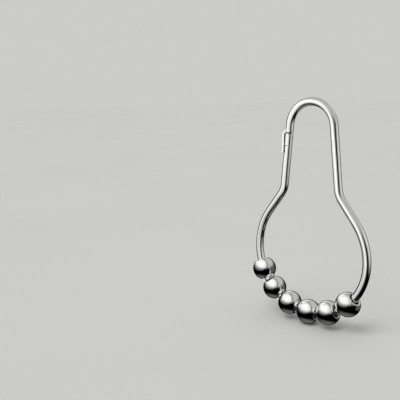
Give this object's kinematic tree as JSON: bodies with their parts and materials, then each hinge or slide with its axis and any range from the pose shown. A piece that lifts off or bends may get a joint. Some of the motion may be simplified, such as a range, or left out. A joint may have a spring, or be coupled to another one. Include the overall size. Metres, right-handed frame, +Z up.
{
  "type": "shower curtain hook",
  "caption": "Pear-shaped chrome wire ring with a snap latch in its neck and roller balls threaded on its wide end, to hang a shower curtain from a rod.",
  "frame": {"origin": "the inside of the narrow loop's crown, where the ring hangs from a peg in this pose", "axes": "+Z up from the beads to the narrow loop; the ring lies in the XZ plane and is seen from -Y, with the latch on the -X arm"},
  "size_m": [0.046, 0.0086, 0.079],
  "materials": {
    "polished_wire": "mirror polished",
    "polished_bead": "mirror polished"
  },
  "bodies": {
    "ring": {"wire_ring": "polished_wire"},
    "bead_1": {"roller_bead_1": "polished_bead"},
    "bead_2": {"roller_bead_2": "polished_bead"},
    "bead_3": {"roller_bead_3": "polished_bead"},
    "bead_4": {"roller_bead_4": "polished_bead"},
    "bead_5": {"roller_bead_5": "polished_bead"},
    "bead_6": {"roller_bead_6": "polished_bead"}
  },
  "joints": [
    {"name": "bead_1_spin", "type": "hinge", "parent": "ring", "child": "bead_1", "pos_m": [-0.01912, 0, -0.05976], "axis": [0.4193, 0, -0.9078], "continuous": true},
    {"name": "bead_2_spin", "type": "hinge", "parent": "ring", "child": "bead_2", "pos_m": [-0.01452, 0, -0.06619], "axis": [0.7244, 0, -0.6894], "continuous": true},
    {"name": "bead_3_spin", "type": "hinge", "parent": "ring", "child": "bead_3", "pos_m": [-0.00787, 0, -0.07046], "axis": [0.9275, 0, -0.3738], "continuous": true},
    {"name": "bead_4_spin", "type": "hinge", "parent": "ring", "child": "bead_4", "pos_m": [-0.00012, 0, -0.07199], "axis": [1, 0, -0.0057], "continuous": true},
    {"name": "bead_5_spin", "type": "hinge", "parent": "ring", "child": "bead_5", "pos_m": [0.00765, 0, -0.07055], "axis": [0.9317, 0, 0.3633], "continuous": true},
    {"name": "bead_6_spin", "type": "hinge", "parent": "ring", "child": "bead_6", "pos_m": [0.01495, 0, -0.06577], "axis": [0.7045, 0, 0.7097], "continuous": true}
  ]
}
